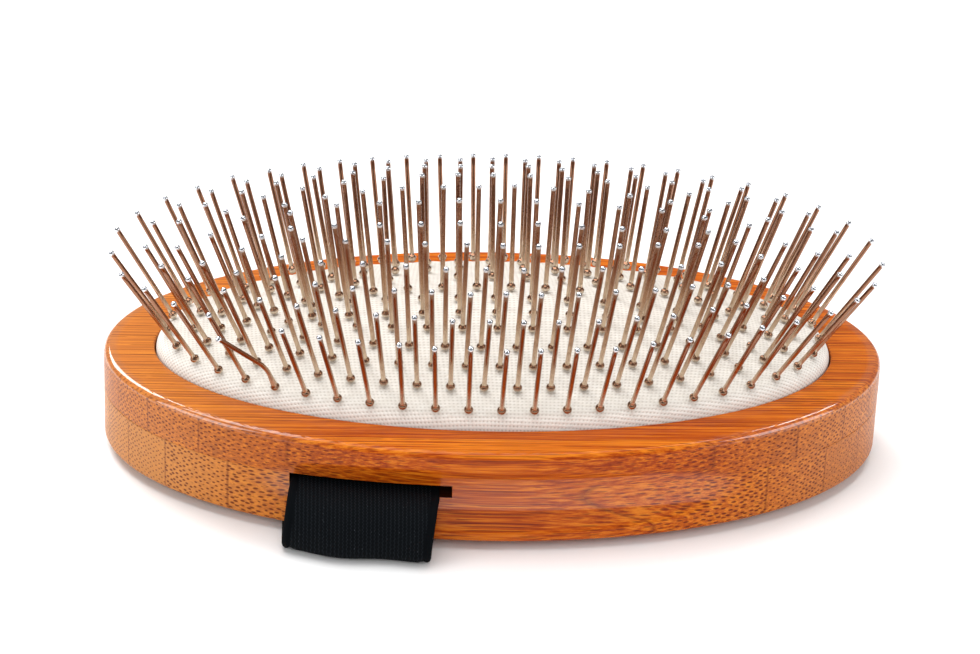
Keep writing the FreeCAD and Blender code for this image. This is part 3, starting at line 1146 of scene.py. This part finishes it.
class BRUSH_OT_stage(bpy.types.Operator):
    """Set up the floor, the light and the camera"""

    bl_idname = "brush.stage"
    bl_label = "Stage"

    def execute(self, context):
        settings = context.scene.brush_stage
        # The floor lies a hair under the strap, so that the two don't share a plane
        low = -0.02 * MM
        reach = 3.0
        points = [(x * reach, y * reach, low) for x, y in ((-1, -1), (1, -1), (1, 1), (-1, 1))]
        floor = make_object("floor", points, [(0, 1, 2, 3)], plain("floor_white", settings.floor))
        self.light_room(context, settings)
        middle = (0.0, 0.0, 0.02)
        self.add_lamp("key", (-0.1, 0.1, 0.95), (0.0, 0.0, 0.0), 0.8, settings.key)
        self.add_lamp("left", (-0.75, -0.35, 0.4), middle, 0.5, settings.side)
        self.add_lamp("right", (0.75, -0.3, 0.4), middle, 0.5, settings.side)
        self.add_lamp("edge_left", (-0.42, 0.6, 0.6), middle, 0.42, settings.edge_left)
        self.add_lamp("edge_right", (0.43, 0.44, 0.78), middle, 0.2, settings.edge_right)
        fill = self.add_lamp("fill", (0.0, -0.95, 0.62), middle, 0.6, settings.fill)
        fill.visible_glossy = False
        self.add_camera(context, settings)
        context.scene.view_settings.view_transform = "Standard"
        return {"FINISHED"}

    def light_room(self, context, settings):
        """Even light from all round."""
        world = bpy.data.worlds.new("room")
        world.use_nodes = True
        back = world.node_tree.nodes["Background"]
        back.inputs["Color"].default_value = (1.0, 1.0, 1.0, 1.0)
        back.inputs["Strength"].default_value = settings.sky
        context.scene.world = world

    def add_lamp(self, name, place, aim, width, power):
        """One square area lamp pointed at a spot."""
        lamp = bpy.data.lights.new(name, "AREA")
        lamp.energy = power
        lamp.size = width
        made = bpy.data.objects.new(name, lamp)
        made.location = place
        made.rotation_mode = "QUATERNION"
        made.rotation_quaternion = (Vector(aim) - Vector(place)).to_track_quat("-Z", "Y")
        bpy.context.scene.collection.objects.link(made)
        return made

    def add_camera(self, context, settings):
        """Camera at the photograph's place."""
        lens = bpy.data.cameras.new("camera")
        lens.lens = settings.lens
        lens.sensor_width = 36.0
        made = bpy.data.objects.new("camera", lens)
        made.location = settings.eye
        made.rotation_mode = "QUATERNION"
        level = Vector(settings.look).to_track_quat("-Z", "Y")
        made.rotation_quaternion = level @ Quaternion((0.0, 0.0, 1.0), settings.roll)
        context.scene.collection.objects.link(made)
        context.scene.camera = made


class BRUSH_PT_panel(bpy.types.Panel):
    """Buttons that build the brush"""

    bl_label = "Pin Brush"
    bl_idname = "BRUSH_PT_panel"
    bl_space_type = "VIEW_3D"
    bl_region_type = "UI"
    bl_category = "Pin Brush"

    def draw(self, context):
        for operator in OPERATORS:
            self.layout.operator(operator.bl_idname)


SETTINGS = {
    "brush_body": BodySettings,
    "brush_cushion": CushionSettings,
    "brush_pins": PinSettings,
    "brush_strap": StrapSettings,
    "brush_stage": StageSettings,
}
OPERATORS = [BRUSH_OT_body, BRUSH_OT_cushion, BRUSH_OT_pins, BRUSH_OT_strap, BRUSH_OT_stage]


def register():
    """Add the settings, operators and panel to Blender."""
    for name, group in SETTINGS.items():
        bpy.utils.register_class(group)
        setattr(bpy.types.Scene, name, PointerProperty(type=group))
    for operator in OPERATORS:
        bpy.utils.register_class(operator)
    bpy.utils.register_class(BRUSH_PT_panel)


def unregister():
    """Take them out again."""
    bpy.utils.unregister_class(BRUSH_PT_panel)
    for operator in reversed(OPERATORS):
        bpy.utils.unregister_class(operator)
    for name, group in SETTINGS.items():
        delattr(bpy.types.Scene, name)
        bpy.utils.unregister_class(group)


def main():
    """Build every piece."""
    register()
    bpy.ops.brush.body()
    bpy.ops.brush.cushion()
    bpy.ops.brush.pins()
    bpy.ops.brush.strap()
    bpy.ops.brush.stage()


if __name__ == "__main__":
    main()
